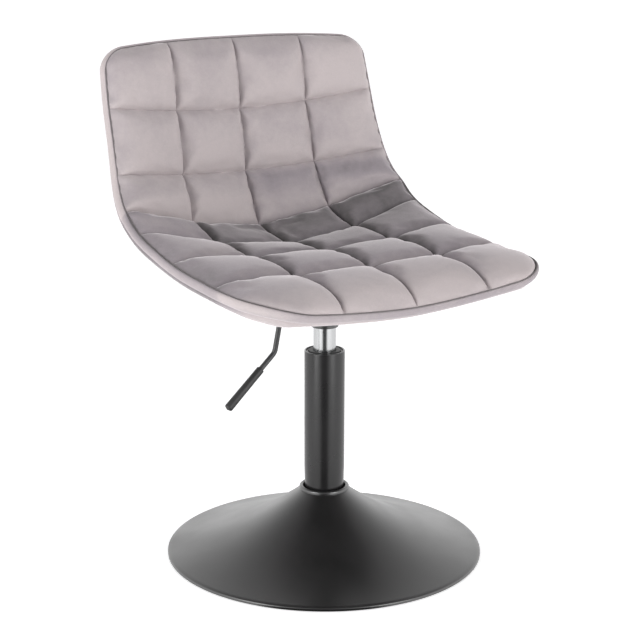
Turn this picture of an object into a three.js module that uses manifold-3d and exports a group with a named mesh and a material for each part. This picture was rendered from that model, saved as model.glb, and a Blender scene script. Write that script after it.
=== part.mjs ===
// Swivel bucket chair on a trumpet-shaped base, with a gas lift and a height lever.
// Millimetres, +Z up, the sitter faces -Y. The origin is on the column's axis at floor level.
import * as THREE from 'three';
import { mergeVertices } from 'three/addons/utils/BufferGeometryUtils.js';
import Module from 'manifold-3d';

const wasm = await Module();
wasm.setup();

// Base and column
const BASE_R = 195;
const RIM_Z = 5;
const NECK_R = 30;
const NECK_Z = 82;
const FLARE = [102, 25.5];
const SHEET = 2;
const PIPE_R = 25;
const PIPE_WALL = 2.3;
const PIPE_FOOT_Z = 3.8;
const PIPE_TOP_Z = 261;

// Gas lift
const TUBE_R = 14;
const TUBE_Z = [36, 291];
const TAPER_TOP_Z = 319.5;
const TAPER_TOP_R = 12.8;
const ROD_R = 5;
const PISTON_Z = 196;

// Lever and its housing
const LEVER_Z = 330;
const PIVOT_X = -30;
const LEVER_R = 3.25;
const GRIP_START = new THREE.Vector3(-93, 0, 251);
const GRIP_END = new THREE.Vector3(-139, 0, 210);
const GRIP_R = 5.2;
const HOUSING_X = [-42, 34];
const HOUSING_Y = 22;
const HOUSING_WALL = 2.5;
const WEB_Z = [320.3, 322.5];

// Seat surface: a run measured from the back's top edge, over the bend, to the seat's front edge
const RUN = 587;
const LEAN = THREE.MathUtils.degToRad(5.9);
const SEAT_TILT = THREE.MathUtils.degToRad(-2.3);
const BEND_AT = 239.4;
const BEND_RUN = 189.7;
const TOP_CURL = THREE.MathUtils.degToRad(6.7);
const CURL_RUN = 0.35 * RUN;
const FRONT_FALL = THREE.MathUtils.degToRad(30.7);
const FALL_RUN = 181.5;
const FRONT_EDGE = [-184.5, 353.3];
const BACK_HALF_WIDTH = 194.2;
const SEAT_HALF_WIDTH = 204.7;
const LIFT_POWER = 1.6;
const TOP_CORNER = 36;
const TOP_DROP = 18;
const DROP_RUN = 110;
const DROP_POWER = 2.4;
const FRONT_CORNER = 63;
const STATIONS = [75, 105, 135, 156, 178, 200, 222, 244, 266, 288, 310, 335, 375, 415, 450, 485];

// Layers of the shell, as levels above (+) and below (-) the seam line
const LAYER_GAP = 0.9;
const PAD_CROWN = 13;
const PAD_SHOULDER = 34;
const PAD_BOTTOM = -14;
const PLY_T = 10;
const BAND_DEPTH = 14.5;
const REAR_ROUND = 16;
const REAR_LEVEL = -29.5;
const PLY_INSET = 12;
const DUST_T = 1;
const DUST_RUN = [330, 545];
const DUST_INSET = 34;

// Mechanism plate, in its own tilted frame at the column's axis
const PLATE = { x: 60, y: 70, t: 3 };
const SCREW_AT = [45, 56];
const SCREW_R = 3;

const RING_SIDES = 20;
const TUBE_SIDES = 28;
const COVER_SIDES = 40;
const SMALL_SIDES = 12;

const GREY_VELVET = { color: 0xb3a8aa, roughness: 0.9, metalness: 0 };
const BLACK_CLOTH = { color: 0x1c1c1d, roughness: 1, metalness: 0 };
const BIRCH_PLY = { color: 0xc8a878, roughness: 0.7, metalness: 0 };
const BLACK_PAINT = { color: 0x1f1e20, roughness: 0.5, metalness: 0.3 };
const CHROME = { color: 0xd8dadc, roughness: 0.08, metalness: 1 };
const STEEL = { color: 0x9a9c9e, roughness: 0.4, metalness: 1 };
const CAST_IRON = { color: 0x3c3d3f, roughness: 0.8, metalness: 0.6 };
const RUBBER = { color: 0x141414, roughness: 0.9, metalness: 0 };
const BLACK_PLASTIC = { color: 0x1a1a1b, roughness: 0.6, metalness: 0 };
const PALE_PLASTIC = { color: 0xb9b8b6, roughness: 0.5, metalness: 0 };

const chair = new THREE.Group();

function addMesh(parent, name, geometry, look) {
  const mesh = new THREE.Mesh(geometry, new THREE.MeshStandardMaterial(look));
  mesh.name = name;
  parent.add(mesh);
  return mesh;
}

// ---- solids ----

function toSolid(geometry) {
  const bare = geometry.clone();
  bare.deleteAttribute('normal');
  bare.deleteAttribute('uv');
  const merged = mergeVertices(bare, 1e-4);
  return new wasm.Manifold(new wasm.Mesh({
    numProp: 3,
    vertProperties: Float32Array.from(merged.attributes.position.array),
    triVerts: Uint32Array.from(merged.index.array),
  }));
}

function toGeometry(solid) {
  const mesh = solid.getMesh();
  const geometry = new THREE.BufferGeometry();
  geometry.setAttribute('position', new THREE.BufferAttribute(mesh.vertProperties, 3));
  geometry.setIndex(new THREE.BufferAttribute(mesh.triVerts, 1));
  const flat = geometry.toNonIndexed();
  flat.computeVertexNormals();
  return flat;
}

// A turned piece about +Z. The profile is [radius, height] pairs, anticlockwise.
function turned(profile, sides = RING_SIDES) {
  const points = profile.map(([r, z]) => new THREE.Vector2(r, z));
  return new THREE.LatheGeometry(points, sides).rotateX(Math.PI / 2);
}

function ring(innerR, outerR, lowZ, highZ, sides = RING_SIDES) {
  return turned([[innerR, lowZ], [outerR, lowZ], [outerR, highZ], [innerR, highZ], [innerR, lowZ]], sides);
}

function disc(radius, lowZ, highZ, sides = RING_SIDES) {
  return turned([[0, lowZ], [radius, lowZ], [radius, highZ], [0, highZ]], sides);
}

// ---- base ----

function trumpetCover() {
  const neck = new THREE.Vector2(NECK_R, NECK_Z);
  const rim = new THREE.Vector2(BASE_R, RIM_Z);
  const flare = new THREE.QuadraticBezierCurve(neck, new THREE.Vector2(...FLARE), rim);
  const steps = 9;
  const outer = flare.getPoints(steps);
  const inner = outer.map((p, i) => {
    const along = flare.getTangent(i / steps);
    return new THREE.Vector2(p.x + SHEET * along.y, p.y - SHEET * along.x);
  });
  const lipR = BASE_R - SHEET;
  const lipZ = 1.2;
  const under = inner.filter((p) => p.x < lipR - 1);
  const profile = [
    ...under.map((p) => [p.x, p.y]),
    [lipR, RIM_Z - SHEET + 0.4],
    [lipR, lipZ],
    [BASE_R, lipZ],
    ...outer.reverse().map((p) => [p.x, p.y]),
    [under[0].x, under[0].y],
  ];
  return turned(profile, COVER_SIDES);
}

function buildBase() {
  const pipeInner = PIPE_R - PIPE_WALL;
  addMesh(chair, 'base_cover', trumpetCover(), BLACK_PAINT);
  addMesh(chair, 'bottom_plate', disc(183.6, 1.5, 3.5, COVER_SIDES), STEEL);
  addMesh(chair, 'floor_ring', ring(184, 192.6, 0, 2.8, COVER_SIDES), RUBBER);
  addMesh(chair, 'ballast_ring', ring(45, 130, 3.8, 15), CAST_IRON);
  addMesh(chair, 'hub_sleeve', ring(PIPE_R + 0.6, 28.5, PIPE_FOOT_Z, 45), STEEL);
  const collar = [
    [25.4, 74], [28, 74], [28, 79.5], [28.3, 82.4], [29.9, 82.4], [29.4, 84], [25.4, 84], [25.4, 74],
  ];
  addMesh(chair, 'neck_ring', turned(collar, TUBE_SIDES), BLACK_PLASTIC);
  addMesh(chair, 'stand_pipe', ring(pipeInner, PIPE_R, PIPE_FOOT_Z, PIPE_TOP_Z, TUBE_SIDES), BLACK_PAINT);
  const collarTop = PIPE_TOP_Z - 0.8;
  addMesh(chair, 'bush_collar', ring(20.3, pipeInner - 0.3, 225, collarTop, TUBE_SIDES), BLACK_PLASTIC);
  addMesh(chair, 'guide_bush', ring(TUBE_R + 0.3, 20, 222, PIPE_TOP_Z + 0.3, TUBE_SIDES), PALE_PLASTIC);
  addMesh(chair, 'pipe_floor', ring(5.4, pipeInner - 0.3, 14, 17), STEEL);
  addMesh(chair, 'lower_race', ring(5.6, 11, 17.3, 18.3), STEEL);
}

// ---- swivel bearing and piston rod ----

function buildSwivel() {
  const grooveR = 4;
  const rod = [
    [0, 7], [4.6, 7], [ROD_R, 7.6], [ROD_R, 9.9], [grooveR, 9.9], [grooveR, 11.3], [ROD_R, 11.3],
    [ROD_R, PISTON_Z + 11], [0, PISTON_Z + 11],
  ];
  addMesh(chair, 'piston_rod', turned(rod, 24), STEEL);
  addMesh(chair, 'retaining_clip', ring(grooveR + 0.2, 8, 10.1, 11.1, 24), STEEL);
  addMesh(chair, 'clip_washer', ring(5.3, 9.5, 11.8, 13.6, 24), STEEL);
  addMesh(chair, 'upper_race', ring(5.3, 11, 22.5, 23.5), STEEL);
  addMesh(chair, 'bump_buffer', ring(5.3, 11.5, 23.9, 34), RUBBER);
  addMesh(chair, 'piston', ring(5.2, 11.2, PISTON_Z, PISTON_Z + 4), STEEL);
  addMesh(chair, 'piston_seal', ring(5.2, 11.5, PISTON_Z + 4.3, PISTON_Z + 7), RUBBER);
}

function buildBallCage() {
  const ballR = 1.9;
  const pitchR = 8.6;
  const ballZ = 20.4;
  const balls = 8;
  let cage = toSolid(ring(6.2, 11, ballZ - 0.5, ballZ + 0.5, SMALL_SIDES));
  for (let i = 0; i < balls; i += 1) {
    const angle = (i / balls) * 2 * Math.PI;
    const x = pitchR * Math.cos(angle);
    const y = pitchR * Math.sin(angle);
    cage = cage.subtract(toSolid(disc(ballR + 0.25, ballZ - 2, ballZ + 2, 8).translate(x, y, 0)));
    const ball = addMesh(chair, `ball_${i + 1}`, new THREE.IcosahedronGeometry(ballR, 1), STEEL);
    ball.position.set(x, y, ballZ);
  }
  addMesh(chair, 'ball_cage', toGeometry(cage), PALE_PLASTIC);
}

// ---- gas lift ----

function buildLift() {
  const [footZ, taperZ] = TUBE_Z;
  const boreR = TUBE_R - 1.3;
  const pinR = 3.5;
  const pinTop = LEVER_Z - LEVER_R - 0.35;
  const tube = [
    [boreR, footZ], [TUBE_R, footZ], [TUBE_R, taperZ], [TAPER_TOP_R, TAPER_TOP_Z], [pinR + 0.5, TAPER_TOP_Z],
    [pinR + 0.5, 313], [11.3, 313], [11.3, 292], [boreR, 289], [boreR, footZ],
  ];
  addMesh(chair, 'pressure_tube', turned(tube, TUBE_SIDES), CHROME);
  addMesh(chair, 'rod_guide', ring(ROD_R + 0.3, boreR - 0.3, footZ + 1, 56), BLACK_PLASTIC);
  addMesh(chair, 'rod_seal', ring(ROD_R + 0.3, boreR - 0.3, 56.3, 57.7), RUBBER);
  addMesh(chair, 'inner_tube', ring(11.8, 12.35, 58, 284), STEEL);
  addMesh(chair, 'valve_body', ring(pinR + 0.4, 11, 293, 312.6), STEEL);
  const socket = [[14.4, taperZ], [17, taperZ], [17, 320], [13.2, 320], [14.4, taperZ]];
  addMesh(chair, 'seat_socket', turned(socket, TUBE_SIDES), BLACK_PAINT);
  const pin = [[0, 296], [pinR, 296], [pinR, pinTop - 2], [1.5, pinTop], [0, pinTop]];
  addMesh(chair, 'valve_pin', turned(pin, SMALL_SIDES), STEEL);
}

// ---- seat surface ----

function smooth(t) {
  const k = THREE.MathUtils.clamp(t, 0, 1);
  return k * k * (3 - 2 * k);
}

// Direction of travel along the run: 90 degrees is straight down the back, 0 is level towards the front.
function runAngle(s) {
  const bend = smooth((s - BEND_AT + BEND_RUN / 2) / BEND_RUN);
  const curl = TOP_CURL * THREE.MathUtils.clamp(1 - s / CURL_RUN, 0, 1);
  const fall = FRONT_FALL * THREE.MathUtils.clamp((s - RUN + FALL_RUN) / FALL_RUN, 0, 1) ** 2;
  const upright = Math.PI / 2 - LEAN;
  return upright + (SEAT_TILT - upright) * bend - curl + fall;
}

// Centreline of the seat surface, one point a millimetre, walked back from the front edge.
const centreline = [];
{
  let [y, z] = FRONT_EDGE;
  for (let s = RUN; s >= 0; s -= 1) {
    centreline[s] = { y, z };
    y += Math.cos(runAngle(s - 0.5));
    z += Math.sin(runAngle(s - 0.5));
  }
}

function centreAt(s) {
  const inside = THREE.MathUtils.clamp(s, 0, RUN);
  const low = Math.min(Math.floor(inside), RUN - 1);
  const a = centreline[low];
  const b = centreline[low + 1];
  const angle = runAngle(inside);
  const beyond = s - inside;
  return {
    y: a.y + (b.y - a.y) * (inside - low) - Math.cos(angle) * beyond,
    z: a.z + (b.z - a.z) * (inside - low) - Math.sin(angle) * beyond,
    ny: -Math.sin(angle),
    nz: Math.cos(angle),
  };
}

function halfWidth(s) {
  return BACK_HALF_WIDTH + (SEAT_HALF_WIDTH - BACK_HALF_WIDTH) * smooth((s - 90) / 160);
}

// How far the sides stand forward of, or above, the middle at this point of the run.
function sideLift(s) {
  const t = THREE.MathUtils.clamp(s / RUN, 0, 1);
  const hug = 39.3 * Math.exp(-(((s - 250.8) / 115) ** 2));
  const frontCorners = 24.6 * THREE.MathUtils.clamp((t - 0.8) / 0.2, 0, 1) ** 2;
  return 17.6 * (1 - smooth(t)) + hug + frontCorners;
}

// A point x to the side, s along the run and `level` off the surface, on the sitter's side when positive.
// The back's top edge falls away towards its corners.
function shellPoint(x, run, level) {
  const ratio = Math.abs(x) / halfWidth(run);
  const fade = Math.max(0, 1 - run / DROP_RUN) ** 2;
  const s = run + TOP_DROP * ratio ** DROP_POWER * fade;
  const centre = centreAt(s);
  const lift = sideLift(s) * ratio ** LIFT_POWER;
  const slope = (Math.sign(x) * sideLift(s) * LIFT_POWER * ratio ** (LIFT_POWER - 1)) / halfWidth(s);
  const length = Math.hypot(1, slope);
  const rise = lift + level / length;
  return [x - (slope * level) / length, centre.y + centre.ny * rise, centre.z + centre.nz * rise];
}

// Rows of a rounded outline: where each row is along the run, and how far it reaches to each side.
function outlineRows(inset, from, to) {
  const rows = [];
  const turns = 3;
  const addCorner = (end, inward, radius, order) => {
    for (const i of order) {
      const angle = (i / turns) * (Math.PI / 2);
      const s = end + inward * radius * (1 - Math.cos(angle));
      rows.push({ s, reach: halfWidth(s) - inset - radius * (1 - Math.sin(angle)) });
    }
  };
  const topR = Math.max(TOP_CORNER - inset, TOP_CORNER / 6);
  const frontR = FRONT_CORNER - inset;
  addCorner(from + inset, 1, topR, [0, 1, 2, 3]);
  for (const s of STATIONS) {
    if (s > from + inset + topR + 4 && s < to - inset - frontR - 4) {
      rows.push({ s, reach: halfWidth(s) - inset });
    }
  }
  addCorner(to - inset, -1, frontR, [3, 2, 1, 0]);
  return rows;
}

// Where a column stands across the shell, from -1 to 1; the columns are closer together near the sides.
function columnAt(c, columns) {
  const even = (2 * c) / columns - 1;
  return Math.sin(even * (Math.PI / 2)) * 0.45 + even * 0.55;
}

// A closed solid over part of the seat surface, between two levels that may depend on the edge distance.
function shellLayer({ inset, low, high, from = 0, to = RUN, columns = 8 }) {
  const rows = outlineRows(inset, from, to);
  const first = rows[0].s;
  const last = rows[rows.length - 1].s;
  const positions = [];
  const index = [];
  for (const side of [high, low]) {
    for (const { s, reach } of rows) {
      for (let c = 0; c <= columns; c += 1) {
        const u = columnAt(c, columns);
        const edge = Math.min((1 - Math.abs(u)) * reach, s - first, last - s);
        positions.push(...shellPoint(u * reach, s, side(edge)));
      }
    }
  }
  const width = columns + 1;
  const count = rows.length * width;
  const at = (layer, r, c) => layer * count + r * width + c;
  const quad = (a, b, c, d) => index.push(a, b, c, a, c, d);
  for (let r = 0; r < rows.length - 1; r += 1) {
    for (let c = 0; c < columns; c += 1) {
      quad(at(0, r, c), at(0, r + 1, c), at(0, r + 1, c + 1), at(0, r, c + 1));
      quad(at(1, r, c), at(1, r, c + 1), at(1, r + 1, c + 1), at(1, r + 1, c));
    }
    quad(at(0, r, 0), at(1, r, 0), at(1, r + 1, 0), at(0, r + 1, 0));
    quad(at(0, r, columns), at(0, r + 1, columns), at(1, r + 1, columns), at(1, r, columns));
  }
  const end = rows.length - 1;
  for (let c = 0; c < columns; c += 1) {
    quad(at(0, 0, c), at(0, 0, c + 1), at(1, 0, c + 1), at(1, 0, c));
    quad(at(0, end, c), at(1, end, c), at(1, end, c + 1), at(0, end, c + 1));
  }
  return surface(positions, index);
}

function surface(positions, index) {
  const geometry = new THREE.BufferGeometry();
  geometry.setAttribute('position', new THREE.Float32BufferAttribute(positions, 3));
  geometry.setIndex(index);
  geometry.computeVertexNormals();
  return geometry;
}

// A closed loop round the outline. The section is [outward, level] pairs.
function edgeLoop(section) {
  const rows = outlineRows(0, 0, RUN);
  const sideways = rows.map(({ s, reach }) => [reach, s]);
  const mirrored = rows.map(({ s, reach }) => [-reach, s]).reverse();
  const across = [1, 2, 3, 4, 5, 6, 7].map((c) => columnAt(c, 8));
  const top = across.map((u) => [u * rows[0].reach, 0]);
  const front = across.map((u) => [-u * rows[rows.length - 1].reach, RUN]);
  const outline = [...sideways, ...front, ...mirrored, ...top];
  const positions = [];
  const index = [];
  const n = outline.length;
  const k = section.length;
  outline.forEach(([x, s], i) => {
    const [nextX, nextS] = outline[(i + 1) % n];
    const [lastX, lastS] = outline[(i + n - 1) % n];
    const length = Math.hypot(nextX - lastX, nextS - lastS);
    const outX = (nextS - lastS) / length;
    const outS = -(nextX - lastX) / length;
    for (const [out, level] of section) {
      positions.push(...shellPoint(x + out * outX, s + out * outS, level));
    }
  });
  for (let i = 0; i < n; i += 1) {
    for (let j = 0; j < k; j += 1) {
      const a = i * k + j;
      const b = i * k + ((j + 1) % k);
      const c = ((i + 1) % n) * k + ((j + 1) % k);
      const d = ((i + 1) % n) * k + j;
      index.push(a, b, c, a, c, d);
    }
  }
  return surface(positions, index);
}

// ---- under the seat: a frame tilted with the seat, its origin on the column's axis ----

const coverLow = (edge) => {
  const near = 1 - THREE.MathUtils.clamp(edge / REAR_ROUND, 0, 1);
  return -BAND_DEPTH - 1.6 + (REAR_LEVEL + BAND_DEPTH + 1.6) * Math.sqrt(1 - near * near);
};
const dustLow = REAR_LEVEL - 2 * LAYER_GAP - DUST_T;

function plateHeight() {
  let lowest = Infinity;
  for (let s = 300; s <= 500; s += 5) {
    for (let x = 0; x <= PLATE.x; x += 10) {
      const [, y, z] = shellPoint(x, s, dustLow);
      if (Math.abs(y) < PLATE.y + 10) {
        lowest = Math.min(lowest, z - y * Math.tan(SEAT_TILT));
      }
    }
  }
  return lowest - 0.5;
}

const underSeat = new THREE.Group();
underSeat.position.set(0, 0, plateHeight());
underSeat.rotation.x = SEAT_TILT;
underSeat.updateMatrixWorld(true);
chair.add(underSeat);

const screwPlaces = [[-1, -1], [1, -1], [-1, 1], [1, 1]].map(([i, j]) => [i * SCREW_AT[0], j * SCREW_AT[1]]);

// Height, in the tilted frame, of the highest point of a layer's surface within `radius` of a screw.
function topAtScrew([screwX, screwY], level, radius) {
  let highest = -Infinity;
  const point = new THREE.Vector3();
  for (let s = 250; s <= 520; s += 2) {
    for (let x = Math.abs(screwX) - radius; x <= Math.abs(screwX) + radius; x += 3) {
      point.set(...shellPoint(x, s, level));
      underSeat.worldToLocal(point);
      if (Math.abs(point.y - screwY) <= radius) {
        highest = Math.max(highest, point.z);
      }
    }
  }
  return highest;
}

const plyTop = PAD_BOTTOM - LAYER_GAP;
const plyBottom = plyTop - PLY_T;
const flangeZ = screwPlaces.map((place) => topAtScrew(place, plyTop, 10) + 0.4);

function drilled(geometry, radius) {
  let solid = toSolid(geometry);
  for (const [x, y] of screwPlaces) {
    const drill = disc(radius, -30, 60, SMALL_SIDES).translate(x, y, 0).applyMatrix4(underSeat.matrixWorld);
    solid = solid.subtract(toSolid(drill));
  }
  return solid;
}

// ---- seat ----

function quiltedPad() {
  const low = () => PAD_BOTTOM;
  const high = (edge) => 1 + (PAD_CROWN - 1) * smooth(edge / PAD_SHOULDER);
  let pad = toSolid(shellLayer({ inset: 0.4, low, high }));
  screwPlaces.forEach(([x, y], i) => {
    const pocket = disc(10, flangeZ[i] - 8, flangeZ[i] + 2.4, SMALL_SIDES).translate(x, y, 0);
    pad = pad.subtract(toSolid(pocket.applyMatrix4(underSeat.matrixWorld)));
  });
  return toGeometry(pad);
}

function rearCover() {
  const outside = drilled(shellLayer({ inset: 0.4, low: coverLow, high: () => -BAND_DEPTH - 0.4 }), 3.7);
  const pocketLow = () => plyBottom - LAYER_GAP;
  const pocket = shellLayer({ inset: PLY_INSET - 0.8, low: pocketLow, high: () => PAD_BOTTOM });
  return toGeometry(outside.subtract(toSolid(pocket)));
}

function buildSeat() {
  addMesh(chair, 'quilted_pad', quiltedPad(), GREY_VELVET);
  const ply = shellLayer({ inset: PLY_INSET, low: () => plyBottom, high: () => plyTop });
  addMesh(chair, 'plywood_shell', toGeometry(drilled(ply, 4.7)), BIRCH_PLY);
  addMesh(chair, 'rear_cover', rearCover(), GREY_VELVET);
  const bulge = [[0.4, -0.6], [0.4, -BAND_DEPTH], [2.2, -BAND_DEPTH], [3.8, -11], [4.2, -7], [3, -2.6]];
  addMesh(chair, 'side_band', edgeLoop(bulge), GREY_VELVET);
  const cord = [];
  const cordSides = 4;
  for (let i = 0; i < cordSides; i += 1) {
    const angle = (i / cordSides) * 2 * Math.PI;
    cord.push([1.7 + 1.4 * Math.cos(angle), 1.3 + 1.4 * Math.sin(angle)]);
  }
  addMesh(chair, 'edge_piping', edgeLoop(cord), GREY_VELVET);
  const sheet = { inset: DUST_INSET, low: () => dustLow, high: () => dustLow + DUST_T, columns: 6 };
  const dust = shellLayer({ ...sheet, from: DUST_RUN[0] - DUST_INSET, to: DUST_RUN[1] + DUST_INSET });
  addMesh(chair, 'dust_cover', toGeometry(drilled(dust, 3.7)), BLACK_CLOTH);
}

// ---- fixings ----

function mechanismPlate() {
  const corner = 10;
  const shape = new THREE.Shape();
  shape.moveTo(corner - PLATE.x, -PLATE.y);
  shape.absarc(PLATE.x - corner, corner - PLATE.y, corner, -Math.PI / 2, 0);
  shape.absarc(PLATE.x - corner, PLATE.y - corner, corner, 0, Math.PI / 2);
  shape.absarc(corner - PLATE.x, PLATE.y - corner, corner, Math.PI / 2, Math.PI);
  shape.absarc(corner - PLATE.x, corner - PLATE.y, corner, Math.PI, Math.PI * 1.5);
  for (const [x, y] of screwPlaces) {
    const hole = new THREE.Path();
    hole.absarc(x, y, SCREW_R + 0.4, 0, Math.PI * 2, true);
    shape.holes.push(hole);
  }
  const plate = new THREE.ExtrudeGeometry(shape, { depth: PLATE.t, bevelEnabled: false, curveSegments: 8 });
  return plate.translate(0, 0, -PLATE.t);
}

function capScrew(shaftTop) {
  const headR = 5.5;
  const headZ = [-8, -4.6];
  const head = [[0, headZ[0]], [headR, headZ[0]], [headR, headZ[1]]];
  const screw = [...head, [SCREW_R, headZ[1]], [SCREW_R, shaftTop], [0, shaftTop]];
  const socket = disc(2.6, headZ[0] - 1, headZ[0] + 2, 6);
  return toGeometry(toSolid(turned(screw, SMALL_SIDES)).subtract(toSolid(socket)));
}

function teeNut() {
  const bore = SCREW_R + 0.3;
  return turned([[bore, -9], [4.3, -9], [4.3, 0], [9, 0], [9, 1.2], [bore, 1.2], [bore, -9]], SMALL_SIDES);
}

function buildFixings() {
  addMesh(underSeat, 'mechanism_plate', mechanismPlate(), BLACK_PAINT);
  screwPlaces.forEach(([x, y], i) => {
    const washer = addMesh(underSeat, `seat_washer_${i + 1}`, ring(3.5, 7.5, -4.3, -3.3, SMALL_SIDES), STEEL);
    washer.position.set(x, y, 0);
    const screw = addMesh(underSeat, `seat_screw_${i + 1}`, capScrew(flangeZ[i] + 1.2), STEEL);
    screw.position.set(x, y, 0);
    const nut = addMesh(underSeat, `tee_nut_${i + 1}`, teeNut(), STEEL);
    nut.position.set(x, y, flangeZ[i]);
  });
}

// ---- lever ----

function leverHousing() {
  const plateUnder = (y) => underSeat.position.z + y * Math.tan(SEAT_TILT) - PLATE.t - 0.6;
  const inner = HOUSING_Y - HOUSING_WALL;
  const channel = new THREE.Shape([
    [-HOUSING_Y, WEB_Z[0]], [HOUSING_Y, WEB_Z[0]],
    [HOUSING_Y, plateUnder(HOUSING_Y)], [inner, plateUnder(inner)],
    [inner, WEB_Z[1]], [-inner, WEB_Z[1]],
    [-inner, plateUnder(-inner)], [-HOUSING_Y, plateUnder(-HOUSING_Y)],
  ].map(([y, z]) => new THREE.Vector2(y, z)));
  const length = HOUSING_X[1] - HOUSING_X[0];
  const block = new THREE.ExtrudeGeometry(channel, { depth: length, bevelEnabled: false });
  const turn = new THREE.Matrix4().set(0, 0, 1, HOUSING_X[0], 1, 0, 0, 0, 0, 1, 0, 0, 0, 0, 0, 1);
  block.applyMatrix4(turn);
  const pinHole = disc(2.4, -40, 40, SMALL_SIDES).rotateX(Math.PI / 2).translate(PIVOT_X, 0, LEVER_Z);
  const webHole = disc(8, WEB_Z[0] - 5, WEB_Z[1] + 5, 24);
  return toGeometry(toSolid(block).subtract(toSolid(pinHole)).subtract(toSolid(webHole)));
}

function leverRod() {
  const intoGrip = GRIP_END.clone().sub(GRIP_START).normalize();
  const path = new THREE.CatmullRomCurve3([
    new THREE.Vector3(4, 0, LEVER_Z),
    new THREE.Vector3(PIVOT_X, 0, LEVER_Z),
    new THREE.Vector3(-48, 0, LEVER_Z - 1),
    new THREE.Vector3(-60, 0, 319),
    new THREE.Vector3(-66.6, 0, 300),
    new THREE.Vector3(-71, 0, 280),
    new THREE.Vector3(-78, 0, 267),
    GRIP_START.clone().addScaledVector(intoGrip, -4),
    GRIP_START.clone().addScaledVector(intoGrip, 27),
  ]);
  const section = new THREE.Shape().absarc(0, 0, LEVER_R, 0, Math.PI * 2);
  const rod = new THREE.ExtrudeGeometry(section, { steps: 26, curveSegments: 4, extrudePath: path });
  const eye = disc(6, -14, 14, SMALL_SIDES).rotateX(Math.PI / 2).translate(PIVOT_X, 0, LEVER_Z);
  const bore = disc(2.4, -20, 20, SMALL_SIDES).rotateX(Math.PI / 2).translate(PIVOT_X, 0, LEVER_Z);
  return toGeometry(toSolid(rod).add(toSolid(eye)).subtract(toSolid(bore)));
}

function leverGrip() {
  const length = GRIP_START.distanceTo(GRIP_END);
  const bore = LEVER_R + 0.35;
  const profile = [
    [0, 29], [bore, 29], [bore, 0], [GRIP_R - 0.6, 0], [GRIP_R, 1], [GRIP_R, length - 5],
    [GRIP_R * 0.8, length - 1.5], [GRIP_R * 0.45, length], [0, length],
  ];
  return turned(profile, 20);
}

function buildLever() {
  addMesh(chair, 'lever_housing', leverHousing(), BLACK_PAINT);
  const pivot = [[0, -25], [3.6, -25], [3.6, -22.5], [2, -22.5], [2, 24], [0, 24]];
  const pin = addMesh(chair, 'pivot_pin', turned(pivot, SMALL_SIDES), STEEL);
  pin.rotation.x = -Math.PI / 2;
  pin.position.set(PIVOT_X, 0, LEVER_Z);
  addMesh(chair, 'lever_rod', leverRod(), BLACK_PAINT);
  const grip = addMesh(chair, 'lever_grip', leverGrip(), BLACK_PLASTIC);
  const along = GRIP_END.clone().sub(GRIP_START).normalize();
  grip.quaternion.setFromUnitVectors(new THREE.Vector3(0, 0, 1), along);
  grip.position.copy(GRIP_START);
}

buildBase();
buildSwivel();
buildBallCage();
buildLift();
buildSeat();
buildFixings();
buildLever();

export default chair;
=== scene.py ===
"""A swivel bucket chair: quilted velvet shell, gas lift with a lever, trumpet-shaped base.

Sizes are in millimetres and become metres when a mesh is made. The sitter faces -Y, and the
origin is on the column's axis at floor level. Sections follow the order of assembly, from the floor up.
"""

import math

import bpy
import numpy as np
from mathutils import Matrix, Vector


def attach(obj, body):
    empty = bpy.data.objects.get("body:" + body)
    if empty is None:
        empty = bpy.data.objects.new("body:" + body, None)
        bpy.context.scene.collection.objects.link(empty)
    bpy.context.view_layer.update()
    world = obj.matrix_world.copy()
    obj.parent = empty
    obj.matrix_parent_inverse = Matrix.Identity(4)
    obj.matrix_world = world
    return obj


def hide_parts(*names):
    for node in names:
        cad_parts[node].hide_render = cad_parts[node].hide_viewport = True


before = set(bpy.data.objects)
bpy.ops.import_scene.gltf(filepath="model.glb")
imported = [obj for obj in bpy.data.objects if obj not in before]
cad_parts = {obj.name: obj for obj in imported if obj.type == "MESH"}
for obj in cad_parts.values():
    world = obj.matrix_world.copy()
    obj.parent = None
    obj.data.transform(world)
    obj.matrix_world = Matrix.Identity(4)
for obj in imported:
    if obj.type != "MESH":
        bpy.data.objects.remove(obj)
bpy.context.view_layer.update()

# ---- Camera ----
# A long lens at the sitter's front right, a little above the seat's height.

CAMERA_PLACE = (-1.1463, -1.6657, 0.820)
CAMERA_AZIMUTH = math.radians(-34.37)
CAMERA_PITCH = math.radians(14.46)
CAMERA_ROLL = math.radians(0.165)
LENS = 95.96
SENSOR_WIDTH = 36

camera_data = bpy.data.cameras.new("camera")
camera_data.lens = LENS
camera_data.sensor_width = SENSOR_WIDTH
camera = bpy.data.objects.new("camera", camera_data)
bpy.context.scene.collection.objects.link(camera)
camera.matrix_world = (
    Matrix.Translation(CAMERA_PLACE)
    @ Matrix.Rotation(CAMERA_AZIMUTH, 4, "Z")
    @ Matrix.Rotation(math.pi / 2 - CAMERA_PITCH, 4, "X")
    @ Matrix.Rotation(CAMERA_ROLL, 4, "Z")
)
bpy.context.scene.camera = camera
bpy.context.scene.view_settings.view_transform = "Standard"

# ---- Studio ----
# White walls all round, darker overhead and in a narrow gap between the two soft boxes at the
# camera's sides. The floor is white paper; reflections show a dark gap in it towards the camera.

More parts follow.
